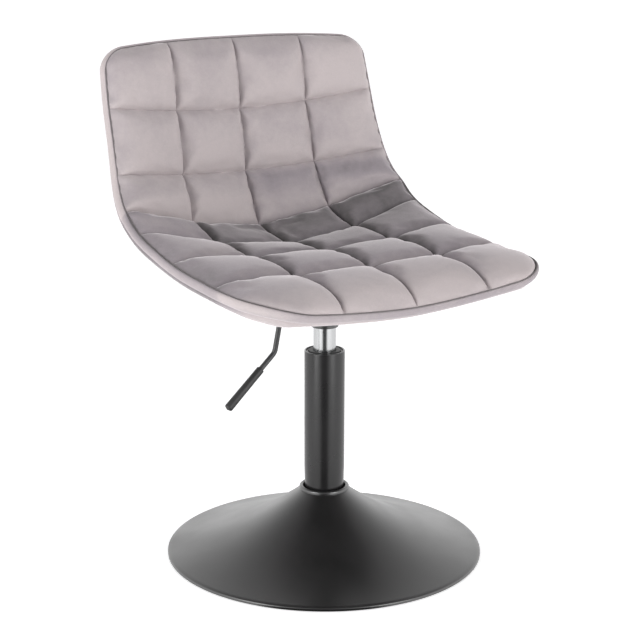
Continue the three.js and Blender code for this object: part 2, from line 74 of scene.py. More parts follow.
TO_CAMERA = Vector((math.sin(CAMERA_AZIMUTH), -math.cos(CAMERA_AZIMUTH), 0))
ROOM_STRENGTH = 1.09
BACK_WALL = 1.6
GAP_LEVEL = 0.08
WALL_STOPS = ((0.55, 1.0), (0.86, 1.0), (0.955, 0.2))
CEILING_HEIGHTS = (0.15, 0.95)
CEILING_LEVEL = 0.1
SOFT_BOX_SIZE = (1.0, 2.0)
SOFT_BOX_HEIGHT = 0.9
SOFT_BOX_DISTANCE = 2.6
SOFT_BOX_AIM = Vector((0, 0, 0.35))
FLOOR_HALF = 20
FLOOR_GLOW = 0.5
FLOOR_GAP = (0.90, 0.97)
PAPER_WHITE = (0.93, 0.93, 0.935, 1)
PAPER_IN_GAP = (0.05, 0.05, 0.05, 1)


def add_node(tree, kind, values=None, **settings):
    """One node with its settings and input values; a value that is a socket gets linked."""
    made = tree.nodes.new(kind)
    for name, value in settings.items():
        setattr(made, name, value)
    for key, value in (values or {}).items():
        if isinstance(value, bpy.types.NodeSocket):
            tree.links.new(value, made.inputs[key])
        else:
            made.inputs[key].default_value = value
    return made


def calculated(tree, operation, first, second):
    """A number worked out from two numbers."""
    return add_node(tree, "ShaderNodeMath", {0: first, 1: second}, operation=operation).outputs[0]


def towards_camera(tree, direction):
    """How far a direction points towards the camera, from -1 to 1."""
    inputs = {0: direction, 1: TO_CAMERA}
    return add_node(tree, "ShaderNodeVectorMath", inputs, operation="DOT_PRODUCT").outputs["Value"]


def eased(tree, value, source, start, end):
    """A number that eases from start to end as the value crosses the source range."""
    inputs = {"Value": value, "From Min": source[0], "From Max": source[1], "To Min": start, "To Max": end}
    made = add_node(tree, "ShaderNodeMapRange", inputs, interpolation_type="SMOOTHSTEP")
    return made.outputs["Result"]


def mixed(tree, factor, first, second, blend="MIX"):
    """One colour out of two."""
    inputs = {"Factor": factor, 6: first, 7: second}
    return add_node(tree, "ShaderNodeMix", inputs, data_type="RGBA", blend_type=blend).outputs[2]


def build_studio_light():
    world = bpy.data.worlds.new("studio")
    bpy.context.scene.world = world
    world.use_nodes = True
    tree = world.node_tree
    tree.nodes.clear()
    sky = add_node(tree, "ShaderNodeTexCoord").outputs["Generated"]
    gap = add_node(tree, "ShaderNodeValToRGB", {"Fac": towards_camera(tree, sky)})
    gap.color_ramp.interpolation = "EASE"
    stops = gap.color_ramp.elements
    stops[0].color = (BACK_WALL, BACK_WALL, BACK_WALL, 1)
    stops[1].color = (GAP_LEVEL, GAP_LEVEL, GAP_LEVEL, 1)
    for position, level in WALL_STOPS:
        stop = stops.new(position)
        stop.color = (level, level, level, 1)
    height = add_node(tree, "ShaderNodeSeparateXYZ", {0: sky})
    overhead = eased(tree, height.outputs["Z"], CEILING_HEIGHTS, 1.0, CEILING_LEVEL)
    shade = mixed(tree, 1.0, gap.outputs["Color"], overhead, "MULTIPLY")
    light = add_node(tree, "ShaderNodeBackground", {"Color": shade, "Strength": ROOM_STRENGTH})
    add_node(tree, "ShaderNodeOutputWorld", {"Surface": light.outputs[0]})


def add_soft_box(name, azimuth, power):
    """A tall rectangular light, `azimuth` degrees round from the camera."""
    data = bpy.data.lights.new(name, "AREA")
    data.shape = "RECTANGLE"
    data.size, data.size_y = SOFT_BOX_SIZE
    data.energy = power
    box = bpy.data.objects.new(name, data)
    bpy.context.scene.collection.objects.link(box)
    angle = CAMERA_AZIMUTH + math.radians(azimuth)
    box.location = (
        SOFT_BOX_DISTANCE * math.sin(angle),
        -SOFT_BOX_DISTANCE * math.cos(angle),
        SOFT_BOX_HEIGHT,
    )
    aim = SOFT_BOX_AIM - box.location
    box.rotation_mode = "QUATERNION"
    box.rotation_quaternion = aim.to_track_quat("-Z", "Y")


def build_floor():
    corners = [(FLOOR_HALF * x, FLOOR_HALF * y, 0) for x, y in ((-1, -1), (1, -1), (1, 1), (-1, 1))]
    mesh = bpy.data.meshes.new("floor")
    mesh.from_pydata(corners, [], [(0, 1, 2, 3)])
    floor = bpy.data.objects.new("floor", mesh)
    bpy.context.scene.collection.objects.link(floor)
    material = bpy.data.materials.new("floor_paper")
    material.use_nodes = True
    tree = material.node_tree
    shader = tree.nodes["Principled BSDF"]
    coord = add_node(tree, "ShaderNodeTexCoord")
    bearing = add_node(tree, "ShaderNodeVectorMath", {0: coord.outputs["Object"]}, operation="NORMALIZE")
    paper = eased(tree, towards_camera(tree, bearing.outputs["Vector"]), FLOOR_GAP, 1.0, 0.0)
    ray = add_node(tree, "ShaderNodeLightPath")
    plain = calculated(tree, "SUBTRACT", 1.0, ray.outputs["Is Glossy Ray"])
    pale = calculated(tree, "MAXIMUM", paper, plain)
    tree.links.new(mixed(tree, pale, PAPER_IN_GAP, PAPER_WHITE), shader.inputs["Base Color"])
    tree.links.new(pale, shader.inputs["Emission Color"])
    shader.inputs["Roughness"].default_value = 0.9
    shader.inputs["Specular IOR Level"].default_value = 0.1
    shader.inputs["Emission Strength"].default_value = FLOOR_GLOW
    mesh.materials.append(material)


build_studio_light()
add_soft_box("left_soft_box", -48, 36)
add_soft_box("right_soft_box", 46, 30)
build_floor()

# ---- Trumpet base ----
# A pressed steel cover, satin black powder coat, with a turned-down edge, over a flat bottom plate,
# a cast-iron ballast ring and a rubber ring on the floor.

BASE_R = 197
RIM_Z = 5
NECK_R = 30
NECK_Z = 82
FLARE = (102, 25.5)
SHEET = 2
RIM_FOOT_Z = 1.2
RIM_ROUND = 1.4
FLOOR_RING_RADII = (184, 192.6)
FLOOR_RING_HEIGHTS = (0, 2.8)
PLATE_R = 183.6
PLATE_HEIGHTS = (1.5, 3.5)


def new_material(name, base, roughness, metallic=0.0):
    """A material and its tree; base, roughness and metallic are what the bare shader starts with."""
    material = bpy.data.materials.new(name)
    material.use_nodes = True
    tree = material.node_tree
    shader = tree.nodes["Principled BSDF"]
    shader.inputs["Base Color"].default_value = (*base, 1)
    shader.inputs["Roughness"].default_value = roughness
    shader.inputs["Metallic"].default_value = metallic
    return material, tree, shader


def object_place(tree, stretch=None):
    """Object coordinates, scaled by stretch where a pattern is longer one way."""
    place = add_node(tree, "ShaderNodeTexCoord").outputs["Object"]
    if stretch:
        place = add_node(tree, "ShaderNodeMapping", {"Vector": place, "Scale": stretch}).outputs["Vector"]
    return place


def noise(tree, place, scale, detail, distortion=0.0):
    """A soft random mask."""
    inputs = {"Vector": place, "Scale": scale, "Detail": detail, "Distortion": distortion}
    return add_node(tree, "ShaderNodeTexNoise", inputs).outputs["Fac"]


def build_mottle_group():
    """Slow patches and fine grain over a surface, as masks from 0 to 1 and a height."""
    group = bpy.data.node_groups.new("mottle", "ShaderNodeTree")
    for name, value in (("Patch Scale", 20.0), ("Grain Scale", 900.0)):
        socket = group.interface.new_socket(name, in_out="INPUT", socket_type="NodeSocketFloat")
        socket.default_value = value
    for name in ("Patches", "Grain"):
        group.interface.new_socket(name, in_out="OUTPUT", socket_type="NodeSocketFloat")
    enter = group.nodes.new("NodeGroupInput")
    leave = group.nodes.new("NodeGroupOutput")
    place = object_place(group)
    patches = noise(group, place, enter.outputs["Patch Scale"], 4.0)
    grain = noise(group, place, enter.outputs["Grain Scale"], 2.0)
    group.links.new(patches, leave.inputs["Patches"])
    group.links.new(grain, leave.inputs["Grain"])
    return group


mottle_group = build_mottle_group()


def add_mottle(tree, patch_scale, grain_scale):
    """The mottle group, placed in a material with its own scales."""
    mottle = tree.nodes.new("ShaderNodeGroup")
    mottle.node_tree = mottle_group
    mottle.inputs["Patch Scale"].default_value = patch_scale
    mottle.inputs["Grain Scale"].default_value = grain_scale
    return mottle


def spread(tree, mask, low, high):
    """A noise mask, which stays mostly between 0.3 and 0.7, drawn out from low to high."""
    ends = {"Value": mask, "From Min": 0.3, "From Max": 0.7, "To Min": low, "To Max": high}
    return add_node(tree, "ShaderNodeMapRange", ends).outputs["Result"]


def vary(tree, mask, socket, low, high):
    """Drives a number socket from a mask, between low and high."""
    tree.links.new(spread(tree, mask, low, high), socket)


def tint(tree, mask, shader, dark, light):
    """Drives the base colour from a mask, between two colours."""
    tree.links.new(mixed(tree, mask, (*dark, 1), (*light, 1)), shader.inputs["Base Color"])


def roughen(tree, height, shader, strength, distance):
    """Gives the surface a fine relief from a height."""
    bump = add_node(tree, "ShaderNodeBump", {"Height": height, "Strength": strength, "Distance": distance})
    tree.links.new(bump.outputs["Normal"], shader.inputs["Normal"])


def powder_coat(name, dark, light, roughness, gloss=1.5):
    """Satin powder coat: fine orange peel, faint patches in its shine."""
    material, tree, shader = new_material(name, dark, roughness)
    mottle = add_mottle(tree, 14.0, 1400.0)
    tint(tree, mottle.outputs["Patches"], shader, dark, light)
    vary(tree, mottle.outputs["Patches"], shader.inputs["Roughness"], roughness - 0.04, roughness + 0.05)
    roughen(tree, mottle.outputs["Grain"], shader, 0.12, 0.0002)
    shader.inputs["IOR"].default_value = gloss
    return material


def bare_metal(name, colour, roughness, patch_scale=30.0, grain_scale=700.0, relief=0.08):
    """Plain metal with uneven shine and a fine surface."""
    material, tree, shader = new_material(name, colour, roughness, 1.0)
    mottle = add_mottle(tree, patch_scale, grain_scale)
    darker = tuple(0.82 * c for c in colour)
    tint(tree, mottle.outputs["Patches"], shader, darker, colour)
    vary(tree, mottle.outputs["Patches"], shader.inputs["Roughness"], 0.75 * roughness, 1.3 * roughness)
    roughen(tree, mottle.outputs["Grain"], shader, relief, 0.0002)
    return material


def moulded(name, dark, light, roughness, relief=0.2):
    """Moulded plastic or rubber with a fine spark-eroded texture."""
    material, tree, shader = new_material(name, dark, roughness)
    mottle = add_mottle(tree, 40.0, 2200.0)
    tint(tree, mottle.outputs["Patches"], shader, dark, light)
    vary(tree, mottle.outputs["Grain"], shader.inputs["Roughness"], roughness - 0.08, roughness + 0.08)
    roughen(tree, mottle.outputs["Grain"], shader, relief, 0.0003)
    return material


black_coat = powder_coat("black_powder_coat", (0.0028, 0.0027, 0.0028), (0.0045, 0.0043, 0.0045), 0.34, 2.0)
zinc = bare_metal("zinc_plate", (0.55, 0.56, 0.58), 0.34)
cast_iron = bare_metal("cast_iron", (0.07, 0.068, 0.066), 0.62, 60.0, 260.0, 0.5)
black_rubber = moulded("black_rubber", (0.010, 0.010, 0.010), (0.018, 0.018, 0.018), 0.75, 0.3)


def make_piece(name, points, faces, material, body, slot, stands_for=(), sharp=35):
    """A smooth-shaded mesh piece from points in millimetres; edges over `sharp` degrees stay crisp."""
    mesh = bpy.data.meshes.new(name)
    mesh.from_pydata((np.asarray(points, float) / 1000).tolist(), [], [tuple(map(int, f)) for f in faces])
    mesh.validate()
    mesh.update()
    mesh.shade_smooth()
    mesh.set_sharp_from_angle(angle=math.radians(sharp))
    mesh.materials.append(material)
    piece = bpy.data.objects.new(name, mesh)
    bpy.context.scene.collection.objects.link(piece)
    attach(piece, body)
    if stands_for:
        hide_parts(*stands_for)
    return piece


def rounded(outline, steps=5):
    """A closed [r, z] outline whose corners become arcs; each point is (r, z, corner radius)."""
    made = []
    count = len(outline)
    for i, (r, z, radius) in enumerate(outline):
        here = np.array((r, z), float)
        if radius <= 0:
            made.append(here)
            continue
        before = np.array(outline[i - 1][:2], float) - here
        after = np.array(outline[(i + 1) % count][:2], float) - here
        before, after = before / np.linalg.norm(before), after / np.linalg.norm(after)
        half = math.acos(np.clip(before @ after, -1, 1)) / 2
        reach = radius / math.tan(half)
        start, end = here + before * reach, here + after * reach
        centre = here + (before + after) / np.linalg.norm(before + after) * radius / math.sin(half)
        for k in range(steps + 1):
            t = k / steps
            ray = (start - centre) * (1 - t) + (end - centre) * t
            made.append(centre + ray / np.linalg.norm(ray) * radius)
    return made


def turned(profile, sides=96):
    """Points and faces of a closed [r, z] profile, anticlockwise, turned about +Z."""
    profile = [(max(float(r), 0.0), float(z)) for r, z in profile]
    points, rings = [], []
    for r, z in profile:
        if r < 1e-6:
            rings.append([len(points)] * sides)
            points.append((0, 0, z))
            continue
        rings.append(list(range(len(points), len(points) + sides)))
        for k in range(sides):
            a = 2 * math.pi * k / sides
            points.append((r * math.cos(a), r * math.sin(a), z))
    faces = []
    for low, high in zip(rings, rings[1:] + rings[:1]):
        for k in range(sides):
            n = (k + 1) % sides
            corners = list(dict.fromkeys((low[k], low[n], high[n], high[k])))
            if len(corners) > 2:
                faces.append(corners)
    return points, faces


def ring_outline(radii, heights, foot_round, top_round, steps):
    """The closed [r, z] outline of a plain ring with rounded edges."""
    (inner, outer), (low, high) = radii, heights
    foot = [(inner, low, foot_round), (outer, low, foot_round)]
    return rounded(foot + [(outer, high, top_round), (inner, high, top_round)], steps)


def trumpet_profile():
    """The cover's closed [r, z] outline: a sheet that flares from the neck and ends in a rolled lip."""
    neck, pull, rim = (np.array(p, float) for p in ((NECK_R, NECK_Z), FLARE, (BASE_R - 1.2, RIM_Z + 0.3)))
    t = np.linspace(0, 1, 44)[:, None]
    outer = (1 - t) ** 2 * neck + 2 * t * (1 - t) * pull + t**2 * rim
    along = 2 * (1 - t) * (pull - neck) + 2 * t * (rim - pull)
    along /= np.linalg.norm(along, axis=1)[:, None]
    inner = outer + SHEET * np.stack([along[:, 1], -along[:, 0]], 1)
    inner = inner[inner[:, 0] < BASE_R - SHEET - 1]
    edge = []
    for degrees in (0, 22, 45, 68):
        a = math.radians(degrees)
        edge.append((BASE_R - RIM_ROUND + RIM_ROUND * math.cos(a), RIM_Z - 1.2 + RIM_ROUND * math.sin(a)))
    lip = [
        (BASE_R - SHEET, RIM_Z - SHEET + 0.4),
        (BASE_R - SHEET, RIM_FOOT_Z + 0.3),
        (BASE_R - SHEET + 0.3, RIM_FOOT_Z),
        (BASE_R - 0.4, RIM_FOOT_Z),
        (BASE_R, RIM_FOOT_Z + 0.4),
    ]
    return list(map(tuple, inner)) + lip + edge + list(map(tuple, outer[::-1]))


make_piece(
    "trumpet_cover", *turned(trumpet_profile(), 160), black_coat, "base", "black_paint", ["base_cover"], 50
)
ring_profile = ring_outline(FLOOR_RING_RADII, FLOOR_RING_HEIGHTS, 0.8, 0.5, 4)
make_piece("rubber_floor_ring", *turned(ring_profile, 128), black_rubber, "base", "rubber", ["floor_ring"])
plate_low, plate_high = PLATE_HEIGHTS
plate_profile = rounded(
    [(0, plate_low, 0), (PLATE_R, plate_low, 0.6), (PLATE_R, plate_high, 0.6), (0, plate_high, 0)], 3
)
make_piece("steel_bottom_plate", *turned(plate_profile, 128), zinc, "base", "steel", ["bottom_plate"])


def paint_node(name, material):
    """Gives a carried-over CAD node its finish."""
    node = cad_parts[name]
    node.data.materials.clear()
    node.data.materials.append(material)


paint_node("ballast_ring", cast_iron)
paint_node("hub_sleeve", zinc)

# ---- Column ----
# A 50 mm black stand pipe, slightly drawn in at its foot, with a worn edge at the top. A pale
# nylon collar and a black bush inside it guide the gas spring; a black ring closes the neck.

PIPE_R = 25
PIPE_BORE_R = 22.7
PIPE_FOOT_R = 24.2
PIPE_FOOT_Z = 3.8
PIPE_SWELL_Z = (82, 112)
PIPE_TOP_Z = 261
WORN_DEPTH = 0.45
COLLAR_RADII = (20.3, 22.4)
COLLAR_HEIGHTS = (225, 259.6)
BUSH_RADII = (14.3, 20)
BUSH_HEIGHTS = (222, 261.3)

black_plastic = moulded("black_plastic", (0.012, 0.012, 0.012), (0.020, 0.020, 0.020), 0.5)
pale_nylon = moulded("pale_nylon", (0.42, 0.41, 0.39), (0.52, 0.51, 0.49), 0.45, 0.1)
worn_edge = bare_metal("worn_steel_edge", (0.16, 0.16, 0.162), 0.35)

pipe_coat = powder_coat("pipe_powder_coat", (0.010, 0.0095, 0.010), (0.014, 0.0135, 0.014), 0.27)
pipe_profile = rounded(
    [
        (PIPE_BORE_R, PIPE_FOOT_Z, 0.4),
        (PIPE_FOOT_R, PIPE_FOOT_Z, 0.4),
        (PIPE_FOOT_R, PIPE_SWELL_Z[0], 2),
        (PIPE_R, PIPE_SWELL_Z[1], 8),
        (PIPE_R, PIPE_TOP_Z, 0.9),
        (PIPE_BORE_R, PIPE_TOP_Z, 0.5),
    ],
    4,
)
pipe = make_piece(
    "stand_pipe_tube", *turned(pipe_profile), pipe_coat, "base", "black_paint", ["stand_pipe"], 50
)
pipe.data.materials.append(worn_edge)
for face in pipe.data.polygons:
    if face.center.z > (PIPE_TOP_Z - WORN_DEPTH) / 1000:
        face.material_index = 1

neck_profile = rounded(
    [
        (25.6, 74, 0.5),
        (27.6, 74, 0.5),
        (27.9, 80, 1),
        (31.2, 81.6, 1.2),
        (31.0, 86.4, 2.3),
        (26.4, 86.4, 1.9),
    ]
)
make_piece("neck_collar", *turned(neck_profile), black_coat, "base", "black_plastic", ["neck_ring"])
collar_profile = ring_outline(COLLAR_RADII, COLLAR_HEIGHTS, 0.4, 0.5, 3)
make_piece("bush_sleeve", *turned(collar_profile), pale_nylon, "base", "pale_plastic", ["bush_collar"])
bush_profile = ring_outline(BUSH_RADII, BUSH_HEIGHTS, 0.4, 0.7, 3)
make_piece("nylon_bush", *turned(bush_profile), black_plastic, "base", "black_plastic", ["guide_bush"])

# ---- Swivel bearing and piston rod ----
# Inside the pipe's foot: a ball thrust bearing in a nylon cage, held by a washer and a clip. The
# ground steel rod stands on it and carries the piston.

polished_steel = bare_metal("ground_steel", (0.7, 0.7, 0.71), 0.16, 50.0, 1500.0, 0.03)
for node_name in ("pipe_floor", "lower_race", "upper_race", "clip_washer", "retaining_clip", "piston"):
    paint_node(node_name, zinc)
paint_node("piston_rod", polished_steel)
for node_name in ("bump_buffer", "piston_seal"):
    paint_node(node_name, black_rubber)
paint_node("ball_cage", pale_nylon)
for number in range(1, 9):
    paint_node(f"ball_{number}", polished_steel)

# ---- Gas spring ----
# A chromed 28 mm pressure tube with a tapered top, wedged in the socket under the seat.

TUBE_R = 14
TUBE_FOOT_Z = 36
TAPER_Z = 291
TAPER_TOP_R = 12.8
TAPER_TOP_Z = 319.5
TUBE_BORE_R = 12.7
TAPER_BORE_R = 11.3
CAP_HOLE_R = 4
CAP_Z = 313
SOCKET_R = 17
SOCKET_TOP_Z = 320
DRAWN_LINES = (900.0, 900.0, 12.0)


def chrome_plate():
    """Bright chrome over a drawn tube: a soft mirror, with faint lengthwise drawing lines."""
    material, tree, shader = new_material("chrome_plate", (0.50, 0.505, 0.51), 0.2, 1.0)
    lines = noise(tree, object_place(tree, DRAWN_LINES), 1.0, 3.0)
    vary(tree, lines, shader.inputs["Roughness"], 0.18, 0.28)
    roughen(tree, lines, shader, 0.03, 0.0002)
    return material


chrome = chrome_plate()
tube_profile = rounded(
    [
        (TUBE_BORE_R, TUBE_FOOT_Z, 0.3),
        (TUBE_R, TUBE_FOOT_Z, 0.5),
        (TUBE_R, TAPER_Z, 3),
        (TAPER_TOP_R, TAPER_TOP_Z, 0.5),
        (CAP_HOLE_R, TAPER_TOP_Z, 0.3),
        (CAP_HOLE_R, CAP_Z, 0),
        (TAPER_BORE_R, CAP_Z, 0),
        (TAPER_BORE_R, TAPER_Z + 1, 0),
        (TUBE_BORE_R, TAPER_Z - 2, 0),
    ],
    4,
)
make_piece("chrome_pressure_tube", *turned(tube_profile), chrome, "seat", "chrome", ["pressure_tube"])
socket_profile = rounded(
    [
        (TUBE_R + 0.5, TAPER_Z, 0.4),
        (SOCKET_R, TAPER_Z, 0.8),
        (SOCKET_R, SOCKET_TOP_Z, 0.5),
        (TAPER_TOP_R + 0.5, SOCKET_TOP_Z, 0.3),
    ],
    3,
)
make_piece(
    "tapered_socket", *turned(socket_profile, 72), black_coat, "seat", "black_paint", ["seat_socket"]
)
for node_name in ("inner_tube", "valve_body", "valve_pin"):
    paint_node(node_name, polished_steel)
paint_node("rod_guide", black_plastic)
paint_node("rod_seal", black_rubber)

# ---- Height lever ----
# A 6.5 mm steel rod, bent twice, with an eye that pivots in a pressed housing. A soft black grip
# is pushed on its end.

LEVER_R = 3.25
LEVER_Z = 330
PIVOT_X = -30
LEVER_BENDS = [(4, 0, LEVER_Z), (-60.4, 0, LEVER_Z), (-73.1, 0, 268.8), (-112, 0, 234.1)]
BEND_R = 13
ROD_CHAMFER = 0.8
EYE_RADII = (2.4, 6)
EYE_HALF_LENGTH = 14
GRIP_START = np.array((-93.0, 0.0, 251.0))
GRIP_END = np.array((-141.0, 0.0, 208.2))
GRIP_BORE_DEPTH = 29


def filleted(points, radius, steps=8):
    """A path through straight stretches whose corners are arcs."""
    path = [np.array(points[0], float)]
    for before, here, after in zip(points, points[1:], points[2:]):
        before, here, after = (np.array(p, float) for p in (before, here, after))
        back, on = before - here, after - here
        back, on = back / np.linalg.norm(back), on / np.linalg.norm(on)
        half = math.acos(np.clip(back @ on, -1, 1)) / 2
        centre = here + (back + on) / np.linalg.norm(back + on) * radius / math.sin(half)
        start, end = here + back * radius / math.tan(half), here + on * radius / math.tan(half)
        for k in range(steps + 1):
            ray = (start - centre) * (1 - k / steps) + (end - centre) * k / steps
            path.append(centre + ray / np.linalg.norm(ray) * radius)
    path.append(np.array(points[-1], float))
    return np.array(path)


def swept(path, radius, sides=20):
    """A round bar along a path in the XZ plane, with chamfered closed ends."""
    along = np.gradient(path, axis=0)
    along /= np.linalg.norm(along, axis=1)[:, None]
    across = np.tile((0.0, 1.0, 0.0), (len(path), 1))
    up = np.cross(along, across)
    angles = np.linspace(0, 2 * math.pi, sides, endpoint=False)
    points = []
    rings = []
    for i, centre in enumerate(path):
        scales = [(0.0, 1.0)]
        if i == 0:
            scales = [(0.0, 1 - ROD_CHAMFER / radius), (ROD_CHAMFER, 1.0)]
        if i == len(path) - 1:
            scales = [(-ROD_CHAMFER, 1.0), (0.0, 1 - ROD_CHAMFER / radius)]
        for shift, scale in scales:
            ring = [
                centre + along[i] * shift + radius * scale * (math.cos(a) * across[i] + math.sin(a) * up[i])
                for a in angles
            ]
            rings.append(range(len(points), len(points) + sides))
            points += ring
    faces = []
    for low, high in zip(rings, rings[1:]):
        for k in range(sides):
            n = (k + 1) % sides
            faces.append((low[k], low[n], high[n], high[k]))
    faces.append(tuple(reversed(rings[0])))
    faces.append(tuple(rings[-1]))
    return points, faces


def lever_grip_points():
    """The grip: a sleeve with a stepped mouth, swelling a little towards its round end."""
    length = float(np.linalg.norm(GRIP_END - GRIP_START))
    bore = LEVER_R + 0.2
    outside = rounded(
        [(bore, 0, 0), (4.9, 0, 0.9), (5.0, 30, 20), (5.3, length - 2, 2.6), (0.0, length, 0)], 6
    )
    profile = [(0, GRIP_BORE_DEPTH), (bore, GRIP_BORE_DEPTH)] + outside
    points, faces = turned(profile, 40)
    along = (GRIP_END - GRIP_START) / length
    side = np.array((0.0, 1.0, 0.0))
    turn = np.stack([np.cross(side, along), side, along], 1)
    return np.array(points) @ turn.T + GRIP_START, faces


rod_points, rod_faces = swept(filleted(LEVER_BENDS, BEND_R), LEVER_R)
eye_bore, eye_outer = EYE_RADII
eye_profile = rounded(
    [
        (eye_bore, -EYE_HALF_LENGTH, 0.3),
        (eye_outer, -EYE_HALF_LENGTH, 0.8),
        (eye_outer, EYE_HALF_LENGTH, 0.8),
        (eye_bore, EYE_HALF_LENGTH, 0.3),
    ],
    3,
)
eye_points, eye_faces = turned(eye_profile, 48)
eye_points = [(x + PIVOT_X, z, -y + LEVER_Z) for x, y, z in eye_points]
eye_faces = [[i + len(rod_points) for i in face] for face in eye_faces]
lever_coat = powder_coat("lever_powder_coat", (0.030, 0.030, 0.031), (0.042, 0.042, 0.043), 0.38)
lever_points, lever_faces = list(rod_points) + eye_points, rod_faces + eye_faces
make_piece("bent_lever", lever_points, lever_faces, lever_coat, "lever", "black_paint", ["lever_rod"])
soft_grip = moulded("soft_grip", (0.016, 0.016, 0.0165), (0.028, 0.028, 0.029), 0.46, 0.25)
make_piece("lever_sleeve", *lever_grip_points(), soft_grip, "lever", "black_plastic", ["lever_grip"], 60)

# ---- Mechanism under the seat ----
# A pressed plate with four screws into tee nuts, the lever's housing and its pivot pin.

for node_name in ("mechanism_plate", "lever_housing"):
    paint_node(node_name, black_coat)
paint_node("pivot_pin", zinc)
for number in range(1, 5):
    for kind in ("seat_screw", "seat_washer", "tee_nut"):
        paint_node(f"{kind}_{number}", zinc)

# ---- Seat surface ----
# The moulded plywood shell sets every soft piece's place: a run goes from the back's top edge over
# the bend to the seat's front edge, and levels are measured off the seam line on the sitter's side.

ROW_LENGTHS = (90, 80, 76, 74, 79, 93, 95)
RUN = sum(ROW_LENGTHS)
LEAN = math.radians(5.9)
SEAT_TILT = math.radians(-2.3)
BEND_AT = 239.4
BEND_RUN = 189.7
TOP_CURL = math.radians(6.7)
CURL_RUN = 0.35 * RUN
FRONT_FALL = math.radians(30.7)
FALL_RUN = 181.5
FRONT_EDGE = (-184.5, 353.3)
BACK_HALF_WIDTH = 194.2
SEAT_HALF_WIDTH = 204.7
WIDEN_AT = 90
WIDEN_RUN = 160
TOP_LIFT = 17.6
HUG_LIFT = 39.3
HUG_AT = 250.8
HUG_RUN = 115
FRONT_LIFT = 24.6
LIFT_POWER = 1.6
TOP_CORNER = 28
TOP_DROP = 11
DROP_RUN = 110
DROP_POWER = 2.4
FRONT_CORNER = 63
TOP_TAPER = 5.5
TAPER_RUN = 100


def smooth(t):
    """0 below 0 and 1 above 1, with an eased rise between."""
    k = np.clip(t, 0, 1)
    return k * k * (3 - 2 * k)


def run_angle(s):
    """Direction of travel: upright going down the back, level going forward on the seat."""
    upright = math.pi / 2 - LEAN
    bend = smooth((s - BEND_AT + BEND_RUN / 2) / BEND_RUN)
    curl = TOP_CURL * np.clip(1 - s / CURL_RUN, 0, 1)
    fall = FRONT_FALL * np.clip((s - RUN + FALL_RUN) / FALL_RUN, 0, 1) ** 2
    return upright + (SEAT_TILT - upright) * bend - curl + fall


def walk_centreline():
    """Y and Z of the middle line at each millimetre of the run, walked back from the front edge."""
    steps = np.arange(RUN)
    angle = run_angle(steps + 0.5)
    y = FRONT_EDGE[0] + np.append(np.cumsum(np.cos(angle)[::-1])[::-1], 0)
    z = FRONT_EDGE[1] + np.append(np.cumsum(np.sin(angle)[::-1])[::-1], 0)
    return y, z


CENTRE_Y, CENTRE_Z = walk_centreline()


def half_width(s):
    """From the middle to the shell's side, at s along the run."""
    return BACK_HALF_WIDTH + (SEAT_HALF_WIDTH - BACK_HALF_WIDTH) * smooth((s - WIDEN_AT) / WIDEN_RUN)


def side_lift(s):
    """How far the sides stand off the middle."""
    t = np.clip(s / RUN, 0, 1)
    hug = HUG_LIFT * np.exp(-(((s - HUG_AT) / HUG_RUN) ** 2))
    return TOP_LIFT * (1 - smooth(t)) + hug + FRONT_LIFT * np.clip((t - 0.8) / 0.2, 0, 1) ** 2


def shell_point(x, run, level):
    """Points x to the side, run along it and level off the surface, as an (..., 3) array.

    The back's top edge falls away towards its corners.
    """
    x, run, level = np.broadcast_arrays(*(np.asarray(value, float) for value in (x, run, level)))
    ratio = np.abs(x) / half_width(run)
    s = run + TOP_DROP * ratio**DROP_POWER * np.maximum(0, 1 - run / DROP_RUN) ** 2
    inside = np.clip(s, 0, RUN)
    angle = run_angle(inside)
    beyond = s - inside
    stations = np.arange(RUN + 1)
    y = np.interp(inside, stations, CENTRE_Y) - np.cos(angle) * beyond
    z = np.interp(inside, stations, CENTRE_Z) - np.sin(angle) * beyond
    lift = side_lift(s) * ratio**LIFT_POWER
    slope = np.sign(x) * side_lift(s) * LIFT_POWER * ratio ** (LIFT_POWER - 1) / half_width(s)
    length = np.hypot(1, slope)
    rise = lift + level / length
    return np.stack([x - slope * level / length, y - np.sin(angle) * rise, z + np.cos(angle) * rise], -1)


def corner_cut(distance, radius):
    """How much a rounded corner takes off a row's reach at this distance from the end."""
    inside = np.clip(radius - distance, 0, radius)
    return radius - np.sqrt(np.maximum(radius**2 - inside**2, 0))


def reach_at(s, inset, start=0.0, end=float(RUN)):
    """Half the width of the rounded outline, drawn in by inset, at s along the run.

    The back narrows a little towards its top.
    """
    taper = TOP_TAPER * np.maximum(0, 1 - np.maximum(s, 0) / TAPER_RUN) ** 1.5
    top = corner_cut(s - start - inset, TOP_CORNER - inset)
    front = corner_cut(end - inset - s, FRONT_CORNER - inset)
    return half_width(s) - inset - taper - top - front


# ---- Velvet ----
# Short-pile polyester velvet, grey with a touch of mauve, its pile brushed down the run. Its tone holds
# painted light and shade, stored on each mesh as a point attribute: darkest in the bend (partly the
# pile's lie, mostly painted shade), painted shade on faces tipped back up the run, painted light towards
# -X and painted sheen on faces turned to +X.

NAP_SHADE_RUN = (0, 164, 176, 240, 252, 285, 314, 326, 393, 405, 486, 498, 587)
NAP_SHADE_LEVEL = (0.93, 0.99, 0.90, 0.90, 0.24, 0.08, 0.05, 0.15, 0.22, 0.24, 0.42, 0.70, 1.0)
TIP_SHADE = (0.4, 0.6)
SIDE_SHEEN = 0.22
LEFT_PAINTED_LIGHT = 0.44
LEFT_LIGHT_FROM = 0.45
RIGHT_SHADE = 0.26
RIGHT_RUN = (165, 180, 240, 250)
# Pile colours from painted shade, through half-lit, to painted light.
PILE_SHADED = (0.098, 0.092, 0.093, 1)
PILE_HALF_LIT = (0.285, 0.254, 0.272, 1)
PILE_LIT = (0.465, 0.413, 0.415, 1)


